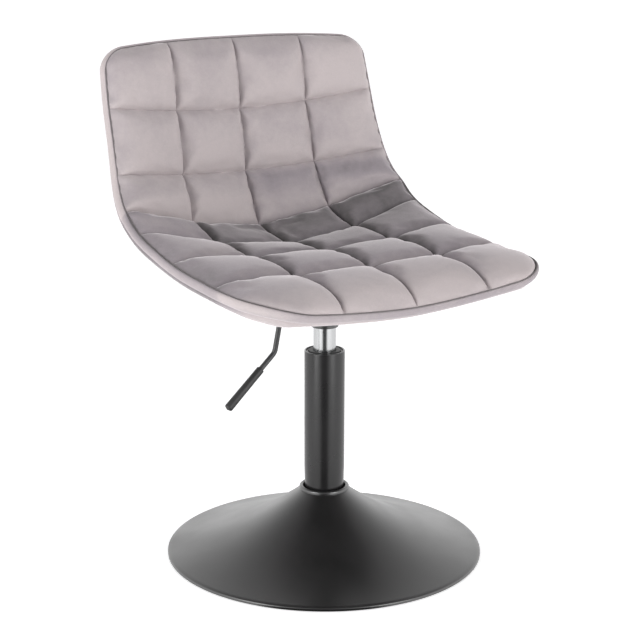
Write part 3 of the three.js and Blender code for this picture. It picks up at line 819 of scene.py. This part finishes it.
def paint_nap_and_shade(piece, s_of_point, edge_shade=0.0):
    """Stores the pile's painted light and shade at each point, from its place and the way its face is tipped.

    edge_shade paints shade over a piece all over, and more where it faces the sitter's right.
    """
    mesh = piece.data
    count = len(mesh.vertices)
    normals = np.empty(count * 3)
    mesh.vertices.foreach_get("normal", normals)
    normals = normals.reshape(-1, 3)
    places = np.empty(count * 3)
    mesh.vertices.foreach_get("co", places)
    across = places.reshape(-1, 3)[:, 0] * 1000 / half_width(s_of_point)
    angle = run_angle(np.clip(s_of_point, 0, RUN))
    down = np.stack([np.zeros(count), -np.cos(angle), -np.sin(angle)], 1)
    tip = np.sum(normals * down, 1)
    # Painted shade along the run, darkest in the bend; only a little of it is the pile's lie.
    level = np.interp(s_of_point, NAP_SHADE_RUN, NAP_SHADE_LEVEL)
    # Painted light towards the sitter's right (-X).
    level += (LEFT_PAINTED_LIGHT - level) * smooth((-across - LEFT_LIGHT_FROM) / 0.2) * (level < LEFT_PAINTED_LIGHT)
    level -= RIGHT_SHADE * smooth((across + 0.1) / 0.3) * np.interp(s_of_point, RIGHT_RUN, (0, 1, 1, 0))
    # Painted shade on faces tipped back up the run, painted light on faces turned down it.
    strength = TIP_SHADE[0] + (TIP_SHADE[1] - TIP_SHADE[0]) * smooth((s_of_point - 150) / 100)
    # Painted sheen on faces turned to +X, painted shade on faces turned to -X.
    nap_and_shade = np.clip(level + strength * np.clip(tip, -0.3, 0.3) + SIDE_SHEEN * normals[:, 0], 0, 1)
    nap_and_shade *= 1 - edge_shade * (1 - 1.5 * normals[:, 0])
    mesh.attributes.new("nap_and_shade", "FLOAT", "POINT").data.foreach_set("value", nap_and_shade)


def velvet():
    """Velvet toned by the stored painted light and shade, with brushed patches, crushed flecks and a fine
    pile.
    """
    material, tree, shader = new_material("grey_velvet", (0.38, 0.345, 0.35), 0.85)
    nap_and_shade = add_node(tree, "ShaderNodeAttribute", attribute_name="nap_and_shade")
    place = object_place(tree)
    patches = spread(tree, noise(tree, place, 11.0, 3.0, 0.6), -0.11, 0.09)
    flecks = spread(tree, noise(tree, place, 130.0, 3.0), -0.035, 0.035)
    pile = noise(tree, place, 1500.0, 2.0)
    marks = calculated(tree, "ADD", flecks, patches)
    lit = calculated(tree, "ADD", nap_and_shade.outputs["Fac"], marks)
    # The stored painted light and shade picks the pile colour.
    base = add_node(tree, "ShaderNodeValToRGB", {"Fac": lit})
    tones = base.color_ramp.elements
    tones[0].color = PILE_SHADED
    tones[1].color = PILE_LIT
    tones.new(0.5).color = PILE_HALF_LIT
    fibre_shade = spread(tree, pile, 0.9, 1.06)
    coloured = mixed(tree, 1.0, base.outputs["Color"], fibre_shade, "MULTIPLY")
    tree.links.new(coloured, shader.inputs["Base Color"])
    shader.inputs["Specular IOR Level"].default_value = 0.15
    shader.inputs["Sheen Weight"].default_value = 0.7
    shader.inputs["Sheen Roughness"].default_value = 0.4
    shader.inputs["Sheen Tint"].default_value = (0.95, 0.9, 0.92, 1)
    roughen(tree, pile, shader, 0.25, 0.0004)
    return material


grey_velvet = velvet()

# ---- Quilted pad ----
# Foam under velvet, sewn through along three seams down and six across, so that each panel
# puffs up between its seams and the seams themselves arch between their crossings.

SEAM_BOW = -12.7
PUFF = (8.5, 8, 8, 7, 7, 9, 10)
SEAM_ARCH_DOWN = (6.5, 5, 4.5, 5, 5, 6, 8)
SEAM_ARCH_ACROSS = (0, 2.5, 3, 3, 3, 4, 4.5, 0)
SEAT_SINK = 6.5
SINK_AT = 200
SINK_RUN = 60
BOW_FADE = 0.15
FRONT_LEAN = 1.3
STITCH_INSET = 0.4
EDGE_AT_SEAM = 0.45
ARCH_POWER = 0.7
CREASE_RISE = 4
CREASE_WIDTH = 2.2
EDGE_RISE = (4, 4, 5, 7, 8, 8, 7)
EDGE_WIDTH = 5
PANEL_COLUMNS = 22
PANEL_ROWS = 20
PAD_UNDERSIDE = -12.4
VELVET_CREASE = 75


def crowded(count):
    """Fractions from 0 to 1, crowded at both ends."""
    return 0.5 - 0.5 * np.cos(np.pi * np.arange(count) / count)


def quilt_grid():
    """Panel index and fraction for each grid line, down (rows) and across (columns)."""
    rows = [(j, w) for j in range(len(ROW_LENGTHS)) for w in crowded(PANEL_ROWS)]
    rows.append((len(ROW_LENGTHS) - 1, 1.0))
    columns = [(i, u) for i in range(4) for u in crowded(PANEL_COLUMNS)]
    columns.append((3, 1.0))
    return np.array(rows), np.array(columns)


def quilt_surface():
    """The pad's upper surface: x, s and level on the quilt grid."""
    rows, columns = quilt_grid()
    row = rows[:, 0].astype(int)[:, None]
    w = rows[:, 1][:, None]
    last_row = len(ROW_LENGTHS) - 1
    column = columns[:, 0].astype(int)[None, :]
    u = columns[:, 1][None, :]
    starts = np.concatenate([[0], np.cumsum(ROW_LENGTHS)])
    plain_s = starts[row] + w * np.array(ROW_LENGTHS)[row]
    edge_s = np.clip(plain_s, STITCH_INSET, RUN - STITCH_INSET)
    reach = reach_at(edge_s, STITCH_INSET)
    half = half_width(edge_s) / 2
    inner_x = (column - 2 + u) * half
    left_x = -reach + u * (reach - half)
    right_x = half + u * (reach - half)
    x = np.where(column == 0, left_x, np.where(column == 3, right_x, inner_x))
    ratio = x / half_width(edge_s)
    ends = np.clip(np.minimum(edge_s, RUN - edge_s) / (BOW_FADE * RUN), 0, 1)
    s = edge_s + SEAM_BOW * ratio**2 * ends
    panel_w = np.where(column % 3 == 0, reach - half, half)
    row_length = np.array(ROW_LENGTHS)[row]
    lean = np.where(row == last_row, w**FRONT_LEAN, w)
    arch_w = np.sin(np.pi * np.clip(lean, 0, 1)) ** ARCH_POWER
    arch_u = np.sin(np.pi * u) ** ARCH_POWER
    down = np.array(SEAM_ARCH_DOWN)[row]
    left = np.where(column == 0, 0, down)
    right = np.where(column == 3, 0, down)
    across = np.array(SEAM_ARCH_ACROSS)
    top, bottom = across[row], across[row + 1]
    crown = np.array(PUFF)[row] - (left + right + top + bottom) / 2
    seams = arch_w * (left + (right - left) * u) + arch_u * (top + (bottom - top) * w)
    level = seams + crown * arch_u * arch_w
    to_left, to_right = u * panel_w, (1 - u) * panel_w
    to_top, to_bottom = w * row_length, (1 - w) * row_length

    def rise(distance, is_edge):
        return np.where(is_edge, 1, 1 - np.exp(-distance / CREASE_WIDTH))

    crease = (
        rise(to_left, column == 0)
        * rise(to_right, column == 3)
        * rise(to_top, row == 0)
        * rise(to_bottom, row == last_row)
    )
    from_edge = np.minimum(np.minimum(reach - np.abs(x), edge_s), RUN - edge_s)
    edge = 1 - np.exp(-from_edge / EDGE_WIDTH)
    at_edge = EDGE_AT_SEAM + (1 - EDGE_AT_SEAM) * crease
    edge_rise = np.interp(edge_s, starts[:-1] + 40, EDGE_RISE) * at_edge
    sink = SEAT_SINK * smooth((edge_s - SINK_AT) / SINK_RUN)
    return x, s, level + (CREASE_RISE * crease + edge_rise - sink) * edge


def grid_quads(rows, columns):
    """Quads over a grid of points that are numbered row by row."""
    index = np.arange(rows * columns).reshape(rows, columns)
    corners = (index[:-1, :-1], index[1:, :-1], index[1:, 1:], index[:-1, 1:])
    return index, np.stack(corners, -1).reshape(-1, 4)


def closed_grid(upper, lower):
    """Points and faces of a closed form between two matching (rows, columns, 3) grids."""
    index, quads = grid_quads(*upper.shape[:2])
    count = index.size
    points = np.concatenate([upper.reshape(-1, 3), lower.reshape(-1, 3)])
    faces = quads.tolist() + (quads[:, ::-1] + count).tolist()
    rim = np.concatenate([index[0, :-1], index[:-1, -1], index[-1, :0:-1], index[:0:-1, 0]])
    for here, there in zip(rim, np.roll(rim, -1)):
        faces.append([int(here), int(there), int(there) + count, int(here) + count])
    return points, faces


WRINKLE_CAP = 2.2
CLOTH_GROWTH = -0.02
CLOTH_FRAMES = 10


def seam_mask(shape):
    """True on the seams and round the outline."""
    mask = np.zeros(shape, bool)
    mask[::PANEL_ROWS, :] = True
    mask[:, ::PANEL_COLUMNS] = True
    return mask


def stretched_over_foam(points):
    """The cover's grid after cloth has settled over the foam, held at its seams."""
    index, quads = grid_quads(*points.shape[:2])
    mesh = bpy.data.meshes.new("cover_cloth")
    mesh.from_pydata((points.reshape(-1, 3) / 1000).tolist(), [], quads.tolist())
    cloth = bpy.data.objects.new("cover_cloth", mesh)
    scene = bpy.context.scene
    scene.collection.objects.link(cloth)
    pins = cloth.vertex_groups.new(name="seams")
    for i in np.flatnonzero(seam_mask(index.shape)):
        pins.add([int(i)], 1.0, "REPLACE")
    sim = cloth.modifiers.new("cloth", "CLOTH")
    sim.settings.vertex_group_mass = "seams"
    sim.settings.quality = 4
    sim.settings.tension_stiffness = 20
    sim.settings.compression_stiffness = 20
    sim.settings.bending_stiffness = 0.8
    sim.settings.use_pressure = True
    sim.settings.uniform_pressure_force = 4
    sim.settings.shrink_min = CLOTH_GROWTH
    sim.settings.effector_weights.gravity = 0
    for number in range(1, CLOTH_FRAMES + 1):
        scene.frame_set(number)
    settled = cloth.evaluated_get(bpy.context.evaluated_depsgraph_get()).to_mesh()
    moved = np.empty(points.size)
    settled.vertices.foreach_get("co", moved)
    shift = moved.reshape(points.shape) * 1000 - points
    length = np.maximum(np.linalg.norm(shift, axis=-1, keepdims=True), 1e-6)
    bpy.data.objects.remove(cloth)
    scene.frame_set(1)
    return points + shift / length * WRINKLE_CAP * np.tanh(length / WRINKLE_CAP)


def build_pad():
    """The pad: the settled cover above, a plain underside below."""
    x, s, level = quilt_surface()
    upper = shell_point(x, s, level)
    upper = stretched_over_foam(upper)
    lower = shell_point(x, s, np.full_like(level, PAD_UNDERSIDE))
    points, faces = closed_grid(upper, lower)
    piece = make_piece(
        "quilted_velvet_pad", points, faces, grey_velvet, "seat", "velvet", ["quilted_pad"], VELVET_CREASE
    )
    # Painted light and shade in the pad's velvet colour, top and underside.
    paint_nap_and_shade(piece, np.concatenate([s.ravel(), s.ravel()]))


build_pad()

# ---- Side band and seam cord ----
# A strip of the same velvet round the shell's edge, over thin foam, sewn to the pad with a narrow
# cord in the seam; the cord's dark colour is painted shade in the seam's groove.


def outline_path(step=6.0):
    """Points (x, s) round the pad's outline, and the outward direction at each."""
    corner = np.linspace(0, math.pi / 2, 18)
    half = []
    top_x = float(reach_at(0.0, 0.0))
    half += [(x, 0.0) for x in np.linspace(0, top_x, int(top_x / step), endpoint=False)]
    top_s = TOP_CORNER * (1 - np.cos(corner))
    half += list(zip(reach_at(top_s, 0.0), top_s))
    side = np.arange(TOP_CORNER + step, RUN - FRONT_CORNER - step / 2, step)
    half += list(zip(reach_at(side, 0.0), side))
    front_s = RUN - FRONT_CORNER * (1 - np.cos(corner))
    half += list(zip(reach_at(front_s, 0.0)[::-1], front_s[::-1]))
    last_x = half[-1][0]
    half += [(x, float(RUN)) for x in np.linspace(last_x, 0, int(last_x / step), endpoint=False)[1:]]
    half = np.array(half)
    mirrored = half[1:][::-1] * np.array((-1, 1))
    path = np.concatenate([half, [(0, RUN)], mirrored])
    ahead = np.roll(path, -1, 0) - np.roll(path, 1, 0)
    ahead /= np.linalg.norm(ahead, axis=1)[:, None]
    return path, np.stack([ahead[:, 1], -ahead[:, 0]], 1)


def edge_loop(section):
    """A closed loop round the outline from an (outward, level) section, anticlockwise."""
    path, outward = outline_path()
    points, along = [], []
    for out, level in section:
        flat = path + outward * out
        points.append(shell_point(flat[:, 0], flat[:, 1], level))
        along.append(flat[:, 1])
    points = np.stack(points, 1)
    n, k = points.shape[:2]
    faces = []
    for i in range(n):
        for j in range(k):
            m, p = (i + 1) % n, (j + 1) % k
            faces.append((i * k + j, i * k + p, m * k + p, m * k + j))
    return points.reshape(-1, 3), faces, np.stack(along, 1).ravel()


BAND_SHADE = 0.2
CORD_R = 0.6
CORD_PLACE = (0.3, 0.1)
band_section = [
    (0.3, -1.9),
    (0.8, -0.6),
    (1.7, -0.2),
    (2.7, -1.0),
    (3.5, -3.0),
    (3.8, -5.6),
    (3.4, -8.4),
    (2.2, -10.6),
    (0.4, -12.2),
    (-2.2, -13.6),
    (-4.0, -13.0),
    (-1.0, -11.0),
    (0.4, -8.0),
]
band_points, band_faces, band_run = edge_loop(band_section)
band = make_piece(
    "velvet_side_band", band_points, band_faces, grey_velvet, "seat", "velvet", ["side_band"], VELVET_CREASE
)
# Painted light and shade in the band's colour, with more painted shade all over from BAND_SHADE.
paint_nap_and_shade(band, band_run, BAND_SHADE)

cord_angles = np.linspace(0, 2 * math.pi, 10, endpoint=False)
cord_section = [
    (CORD_PLACE[0] + CORD_R * math.cos(a), CORD_PLACE[1] + CORD_R * math.sin(a)) for a in cord_angles
]
cord_points, cord_faces, _ = edge_loop(cord_section)
# The cord's dark colour is painted shade in the seam's groove.
shaded_seam_cloth = moulded("seam_cord_shade_cloth", (0.14, 0.126, 0.129), (0.2, 0.18, 0.183), 0.9, 0.5)
make_piece("seam_cord", cord_points, cord_faces, shaded_seam_cloth, "seat", "velvet", ["edge_piping"])

# ---- Rear cover ----
# Plain velvet over thin foam on the back and underside, its edge sewn to the side band.

REAR_INSET = 2.0
REAR_EDGE_LEVEL = -13.4
REAR_LEVEL = -29.3
REAR_ROUND = 46
REAR_FOAM = 3.2


def crowded_ends(count):
    """Fractions from 0 to 1 in two like halves, crowded at the ends and in the middle."""
    half = crowded(count) * 0.5
    return np.concatenate([half, [0.5], (1 - half)[::-1]])


def rear_surface():
    """The cover's outer face: x, s and level, rounded towards its edge."""
    rows = crowded_ends(24)
    across = crowded_ends(26) * 2 - 1
    s = (REAR_INSET + rows * (RUN - 2 * REAR_INSET))[:, None]
    reach = reach_at(s, REAR_INSET)
    x = across[None, :] * reach
    from_end = np.minimum(s - REAR_INSET, RUN - REAR_INSET - s)
    edge = np.minimum((1 - np.abs(across[None, :])) * reach, from_end)
    near = 1 - np.clip(edge / REAR_ROUND, 0, 1)
    level = REAR_EDGE_LEVEL + (REAR_LEVEL - REAR_EDGE_LEVEL) * np.sqrt(1 - near**2)
    return x, np.broadcast_to(s, x.shape), level


rear_x, rear_s, rear_level = rear_surface()
rear_points, rear_faces = closed_grid(
    shell_point(rear_x, rear_s, rear_level + REAR_FOAM), shell_point(rear_x, rear_s, rear_level)
)
rear = make_piece(
    "velvet_rear_cover", rear_points, rear_faces, grey_velvet, "seat", "velvet", ["rear_cover"], VELVET_CREASE
)
# Painted light and shade in the rear cover's velvet colour.
paint_nap_and_shade(rear, np.concatenate([rear_s.ravel(), rear_s.ravel()]))

# ---- Plywood shell and lining ----
# Moulded birch plywood between the pad and the rear cover, and a black non-woven lining that is
# stretched and stapled under the seat.

PLY_GRAIN = (60.0, 6.0, 60.0)
PLY_INSET = 24
PLY_LEVELS = (-14.6, -24.4)


def birch_ply():
    """Birch veneer with its grain along the run."""
    material, tree, shader = new_material("birch_ply", (0.62, 0.45, 0.27), 0.6)
    grain = noise(tree, object_place(tree, PLY_GRAIN), 2.0, 6.0)
    tint(tree, grain, shader, (0.46, 0.31, 0.17), (0.68, 0.52, 0.33))
    roughen(tree, grain, shader, 0.2, 0.0003)
    return material


ply_run = (PLY_INSET + crowded(40) * (RUN - 2 * PLY_INSET))[:, None]
ply_x = np.linspace(-1, 1, 17)[None, :] * reach_at(ply_run, PLY_INSET)
ply_top, ply_bottom = (shell_point(ply_x, ply_run, level) for level in PLY_LEVELS)
ply_points, ply_faces = closed_grid(ply_top, ply_bottom)
make_piece("birch_shell", ply_points, ply_faces, birch_ply(), "seat", "plywood", ["plywood_shell"], 40)


def lining_cloth():
    """Thin spun-bonded cloth, point-bonded in a fine grid."""
    material, tree, shader = new_material("black_lining", (0.012, 0.012, 0.013), 0.95)
    place = object_place(tree)
    dots = add_node(tree, "ShaderNodeTexVoronoi", {"Vector": place, "Scale": 700.0})
    tint(tree, noise(tree, place, 90.0, 5.0), shader, (0.008, 0.008, 0.009), (0.022, 0.022, 0.023))
    roughen(tree, dots.outputs["Distance"], shader, 0.4, 0.0003)
    return material


LINING_INSET = 34
LINING_RUN = (330, 545)
LINING_CORNERS = (6, 29)
LINING_LEVELS = (-30.3, -30.9)
STAPLE = (9.0, 1.2, 0.7)
STAPLE_SPACING = 26
STAPLE_INSET = 5
STAPLE_PROUD = 0.15


def lining_reach(s, inset=0):
    """Half the lining's width at s, less where its corners are rounded."""
    cuts = (corner_cut(abs(s - end) - inset, radius) for end, radius in zip(LINING_RUN, LINING_CORNERS))
    back, front = cuts
    return half_width(s) - LINING_INSET - inset - back - front


lining_run = (LINING_RUN[0] + crowded(30) * (LINING_RUN[1] - LINING_RUN[0]))[:, None]
lining_x = (crowded(30) * 2 - 1)[None, :] * lining_reach(lining_run)
lining_top, lining_under = (shell_point(lining_x, lining_run, level) for level in LINING_LEVELS)
lining_points, lining_faces = closed_grid(lining_top, lining_under)
lining = make_piece(
    "black_lining_sheet", lining_points, lining_faces, lining_cloth(), "seat", "black_cloth", ["dust_cover"]
)


def build_staple_tree():
    """Staples laid along a mesh loop, each turned to face out of the cloth."""
    tree = bpy.data.node_groups.new("staples_along_edge", "GeometryNodeTree")
    tree.interface.new_socket("Geometry", in_out="INPUT", socket_type="NodeSocketGeometry")
    spacing = tree.interface.new_socket("Spacing", in_out="INPUT", socket_type="NodeSocketFloat")
    size = tree.interface.new_socket("Staple Size", in_out="INPUT", socket_type="NodeSocketVector")
    tree.interface.new_socket("Geometry", in_out="OUTPUT", socket_type="NodeSocketGeometry")
    enter, leave = tree.nodes.new("NodeGroupInput"), tree.nodes.new("NodeGroupOutput")
    curve = add_node(tree, "GeometryNodeMeshToCurve", {"Mesh": enter.outputs["Geometry"]})
    spread = add_node(
        tree,
        "GeometryNodeResampleCurve",
        {"Curve": curve.outputs[0], "Length": enter.outputs["Spacing"]},
        mode="LENGTH",
    )
    staple = add_node(tree, "GeometryNodeMeshCube", {"Size": enter.outputs["Staple Size"]})
    tangent = add_node(tree, "GeometryNodeInputTangent")
    outward = add_node(
        tree, "GeometryNodeInputNamedAttribute", {"Name": "outward"}, data_type="FLOAT_VECTOR"
    )
    along = add_node(tree, "FunctionNodeAlignRotationToVector", {"Vector": tangent.outputs[0]}, axis="X")
    flat = add_node(
        tree,
        "FunctionNodeAlignRotationToVector",
        {"Rotation": along.outputs[0], "Vector": outward.outputs["Attribute"]},
        axis="Z",
        pivot_axis="X",
    )
    placed = add_node(
        tree,
        "GeometryNodeInstanceOnPoints",
        {"Points": spread.outputs[0], "Instance": staple.outputs["Mesh"], "Rotation": flat.outputs[0]},
    )
    real = add_node(tree, "GeometryNodeRealizeInstances", {"Geometry": placed.outputs[0]})
    finish = add_node(tree, "GeometryNodeSetMaterial", {"Geometry": real.outputs[0], "Material": zinc})
    tree.links.new(finish.outputs[0], leave.inputs["Geometry"])
    return tree, spacing.identifier, size.identifier


def build_staples():
    """Staples round the lining, a little in from its edge, as one plain mesh."""
    turns = np.linspace(LINING_RUN[0] + STAPLE_INSET, LINING_RUN[1] - STAPLE_INSET, 40)
    reach = lining_reach(turns, STAPLE_INSET)
    front_x = np.linspace(reach[-1], -reach[-1], 24)[1:-1]
    back_x = np.linspace(-reach[0], reach[0], 24)[1:-1]
    front_s, back_s = np.full(len(front_x), turns[-1]), np.full(len(back_x), turns[0])
    x = np.concatenate([reach, front_x, -reach[::-1], back_x])
    s = np.concatenate([turns, front_s, turns[::-1], back_s])
    points = shell_point(x, s, LINING_LEVELS[1] - STAPLE_PROUD)
    outward = points - shell_point(x, s, LINING_LEVELS[1] + 1)
    count = len(points)
    mesh = bpy.data.meshes.new("staple_path")
    mesh.from_pydata((points / 1000).tolist(), [(i, (i + 1) % count) for i in range(count)], [])
    mesh.attributes.new("outward", "FLOAT_VECTOR", "POINT").data.foreach_set("vector", outward.ravel())
    path = bpy.data.objects.new("staple_path", mesh)
    bpy.context.scene.collection.objects.link(path)
    tree, spacing, size = build_staple_tree()
    layer = path.modifiers.new("staples", "NODES")
    layer.node_group = tree
    layer[spacing] = STAPLE_SPACING / 1000
    layer[size] = [side / 1000 for side in STAPLE]
    evaluated = path.evaluated_get(bpy.context.evaluated_depsgraph_get())
    made = bpy.data.meshes.new_from_object(evaluated)
    bpy.data.objects.remove(path)
    staples = bpy.data.objects.new("lining_staples", made)
    bpy.context.scene.collection.objects.link(staples)
    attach(staples, "seat")


build_staples()
